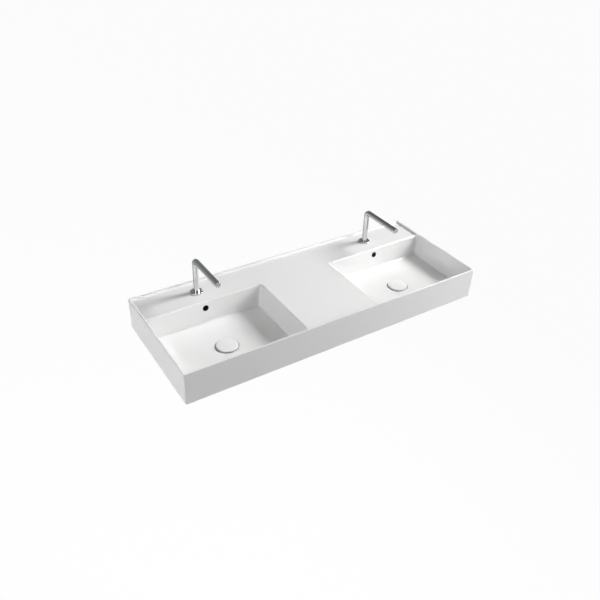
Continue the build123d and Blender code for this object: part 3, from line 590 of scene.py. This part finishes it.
TUBE_R = 0.010
TUBE_WALL = 0.0014
BEND_R = 0.015
BEND_STEPS = 20
for side in ("left", "right"):
    low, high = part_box(f"spout_tube_{side}")
    foot = Vector(((low.x + high.x) / 2, high.y - TUBE_R, low.z))
    run_height = high.z - TUBE_R
    bpy.ops.object.select_all(action="DESELECT")
    bpy.ops.mesh.primitive_circle_add(vertices=72, radius=TUBE_R, location=foot)
    tube = bpy.context.active_object
    tube.name = f"bent_tube_{side}"
    bpy.ops.object.transform_apply(location=True, rotation=True, scale=True)
    bpy.ops.object.mode_set(mode="EDIT")
    bpy.ops.mesh.select_all(action="SELECT")
    climb = Vector((0, 0, run_height - BEND_R - foot.z))
    bpy.ops.mesh.extrude_region_move(TRANSFORM_OT_translate={"value": climb})
    bend_centre = Vector((foot.x, foot.y - BEND_R, run_height - BEND_R))
    bpy.ops.mesh.spin(steps=BEND_STEPS, angle=-math.pi / 2, center=bend_centre, axis=ACROSS)
    forward = Vector((0, low.y - bend_centre.y, 0))
    bpy.ops.mesh.extrude_region_move(TRANSFORM_OT_translate={"value": forward})
    bpy.ops.mesh.select_all(action="SELECT")
    bpy.ops.mesh.normals_make_consistent(inside=False)
    bpy.ops.object.mode_set(mode="OBJECT")
    wall = tube.modifiers.new("wall", "SOLIDIFY")
    wall.thickness = TUBE_WALL
    wall.offset = -1
    bpy.ops.object.modifier_apply(modifier="wall")
    set_material(tube, chrome_plate)
    smooth_over(tube, 50.0)
    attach(tube, f"spout_{side}")
    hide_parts(f"spout_tube_{side}")


# The outlets: a short chrome ring screwed into each spout's end, with a shadow gap behind it.
# The honeycomb disc inside is pale moulded plastic, set back from the ring's lip.

FORWARD = Vector((0, -1, 0))
RING_EDGE = 0.0004
RING_BORE_R = 0.0082
THREAD_BORE_R = 0.0073
THREADED_LENGTH = 0.008
SHADOW_GAP = 0.0004
for side in ("left", "right"):
    low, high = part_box(f"aerator_housing_{side}")
    tube_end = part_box(f"spout_tube_{side}")[0].y
    centre = Vector(((low.x + high.x) / 2, tube_end, (low.z + high.z) / 2))
    front = tube_end - low.y
    outline = [(THREAD_BORE_R, -THREADED_LENGTH), (TUBE_R - TUBE_WALL, -THREADED_LENGTH), (TUBE_R - TUBE_WALL, 0)]
    outline += [(TUBE_R - SHADOW_GAP, 0), (TUBE_R - SHADOW_GAP, SHADOW_GAP), (TUBE_R, SHADOW_GAP)]
    outline += round_corner(TUBE_R - RING_EDGE, front - RING_EDGE, RING_EDGE, 0, 90, steps=4)
    outline += round_corner(RING_BORE_R + RING_EDGE, front - RING_EDGE, RING_EDGE, 90, 180, steps=4)
    outline += [(RING_BORE_R, 0.001), (THREAD_BORE_R, 0.001), (THREAD_BORE_R, -THREADED_LENGTH)]
    outlet = turned_piece(f"outlet_ring_{side}", centre, FORWARD, ACROSS, outline, 72)
    set_material(outlet, chrome_plate)
    smooth_over(outlet)
    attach(outlet, f"spout_{side}")
    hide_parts(f"aerator_housing_{side}")
    dress(white_plastic, f"aerator_insert_{side}")


# The studio it is photographed in: a pale floor, far enough down to look up at the basin, and a white room.
# The camera sees both as plain white. Chrome also sees a dark ceiling, and a graded card behind the basin.

FLOOR_BELOW_RIM = 2.6
ROOM_SPAN = 120.0
FLOOR_KEPT = 0.04
ROOM_LIGHT = 0.23
CEILING_DARK = 0.10
CARD_SPAN = 6.0
CARD_BEHIND = 1.2
CARD_TONES = ((0.36, 0.90), (0.46, 0.45), (0.55, 0.32), (0.673, 0.21), (0.75, 0.13), (1.0, 0.10))


def make_floor():
    """A pale floor that the camera sees as white, with the object's soft shadow kept on it."""
    material, shader, place = new_finish("pale_floor")
    tree = material.node_tree
    feed(shader, {"Base Color": (0.85, 0.85, 0.85, 1.0), "Roughness": 0.9})
    path = tree.nodes.new("ShaderNodeLightPath")
    seen = Wire(path.outputs["Is Camera Ray"])
    seen = seen.maths("MAXIMUM", Wire(path.outputs["Is Glossy Ray"]))
    seen = seen.maths("MAXIMUM", Wire(path.outputs["Is Transmission Ray"]))
    white = tree.nodes.new("ShaderNodeEmission")
    mix = tree.nodes.new("ShaderNodeMixShader")
    feed(mix, {0: seen * (1.0 - FLOOR_KEPT), 1: Wire(shader.outputs[0]), 2: Wire(white.outputs[0])})
    tree.links.new(mix.outputs[0], tree.nodes["Material Output"].inputs["Surface"])
    return material


def light_the_room():
    """The world: plain light all round, seen as white and, high up, reflected as a dark ceiling."""
    world = bpy.data.worlds.new("white_room")
    bpy.context.scene.world = world
    world.use_nodes = True
    tree = world.node_tree
    place = Wire(tree.nodes.new("ShaderNodeTexCoord").outputs["Generated"])
    parts = place.node("ShaderNodeSeparateXYZ", {}, {0: place})
    up = Wire(parts.socket.node.outputs[2])
    ceiling = up.node("ShaderNodeValToRGB", {"stops": (
        (0.0, (1.0, 1.0, 1.0)), (0.42, (0.95, 0.95, 0.95)), (0.62, (CEILING_DARK,) * 3), (1.0, (CEILING_DARK,) * 3))},
        {0: up})
    path = tree.nodes.new("ShaderNodeLightPath")
    seen = Wire(path.outputs["Is Camera Ray"])
    reflected = Wire(path.outputs["Is Glossy Ray"]).maths("MAXIMUM", Wire(path.outputs["Is Transmission Ray"]))
    plain = (ROOM_LIGHT,) * 3
    colour = seen.between(reflected.between(plain, ceiling), (1.0, 1.0, 1.0))
    feed(tree.nodes["Background"], {"Color": colour, "Strength": 1.0})


def make_card():
    """A graded card, dark at the top, as photographers stand behind chrome to give it its dark side."""
    material, shader, place = new_finish("graded_card")
    up = place.node("ShaderNodeSeparateXYZ", {}, {0: place}, output=1) * (1.0 / CARD_SPAN) + 0.5
    tone = up.node("ShaderNodeValToRGB", {"stops": [(at, (level,) * 3) for at, level in CARD_TONES]}, {0: up})
    feed(shader, {"Base Color": (0.0, 0.0, 0.0, 1.0), "Emission Color": tone, "Emission Strength": 1.0})
    return material


bpy.ops.object.select_all(action="DESELECT")
bpy.ops.mesh.primitive_plane_add(size=ROOM_SPAN, location=(0, 0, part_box("basin_body")[1].z - FLOOR_BELOW_RIM))
floor = bpy.context.active_object
floor.name = "floor"
set_material(floor, make_floor())

bpy.ops.object.select_all(action="DESELECT")
bpy.ops.mesh.primitive_plane_add(size=CARD_SPAN, location=(0, CARD_BEHIND, 0), rotation=(math.pi / 2, 0, 0))
card = bpy.context.active_object
card.name = "card_behind"
set_material(card, make_card())
card.visible_camera = False
card.visible_diffuse = False
card.visible_transmission = False
card.visible_shadow = False
light_the_room()


# The lamps: a soft main light on the right throws the shadows left, and two soft fills open them.
# The main light keeps its strength with distance, because in the photograph it lies evenly along the basin.

def add_lamp(name, place, aim, span, watts):
    """A round soft light at a place, turned to what it lights."""
    data = bpy.data.lights.new(name, "AREA")
    data.shape = "DISK"
    data.size = span
    data.energy = watts
    lamp = bpy.data.objects.new(name, data)
    bpy.context.scene.collection.objects.link(lamp)
    lamp.location = place
    lamp.rotation_euler = (aim - place).to_track_quat("-Z", "Y").to_euler()
    return lamp


MAIN_LEVEL = 10.0
main_lamp = add_lamp("main_lamp", Vector((1.55, -0.33, 1.2)), Vector((-0.5, -0.2, 0)), 0.75, 1.0)
main_lamp.data.use_nodes = True
lamp_tree = main_lamp.data.node_tree
even = lamp_tree.nodes.new("ShaderNodeLightFalloff")
even.inputs["Strength"].default_value = MAIN_LEVEL
lamp_tree.links.new(even.outputs["Constant"], lamp_tree.nodes["Emission"].inputs["Strength"])
add_lamp("front_fill", Vector((1.2, -1.6, 0.5)), Vector((0, -0.3, 0)), 0.8, 11.0)
add_lamp("left_fill", Vector((-2.2, -0.6, 0.85)), Vector((0, -0.3, 0)), 1.2, 11.8)


# The camera: where the photograph was taken from, found from the basin's corners and given as real places.

CAMERA_PLACE = Vector((-1.1306, -1.8439, 1.3562))
CAMERA_AZIMUTH = math.radians(-34.05)
CAMERA_ELEVATION = math.radians(34.73)
CAMERA_ROLL = math.radians(2.46)
SENSOR = 36.0
LENS = 38.97

back = Vector((
    math.sin(CAMERA_AZIMUTH) * math.cos(CAMERA_ELEVATION),
    -math.cos(CAMERA_AZIMUTH) * math.cos(CAMERA_ELEVATION),
    math.sin(CAMERA_ELEVATION),
))
level_right = UP.cross(back).normalized()
level_up = back.cross(level_right)
right = math.cos(CAMERA_ROLL) * level_right + math.sin(CAMERA_ROLL) * level_up
upward = math.cos(CAMERA_ROLL) * level_up - math.sin(CAMERA_ROLL) * level_right
camera_data = bpy.data.cameras.new("camera")
camera_data.sensor_width = SENSOR
camera_data.lens = LENS
camera = bpy.data.objects.new("camera", camera_data)
bpy.context.scene.collection.objects.link(camera)
turn = Matrix((right, upward, back)).transposed().to_4x4()
camera.matrix_world = Matrix.Translation(CAMERA_PLACE) @ turn
bpy.context.scene.camera = camera
bpy.context.scene.view_settings.view_transform = "Standard"


bpy.context.view_layer.update()
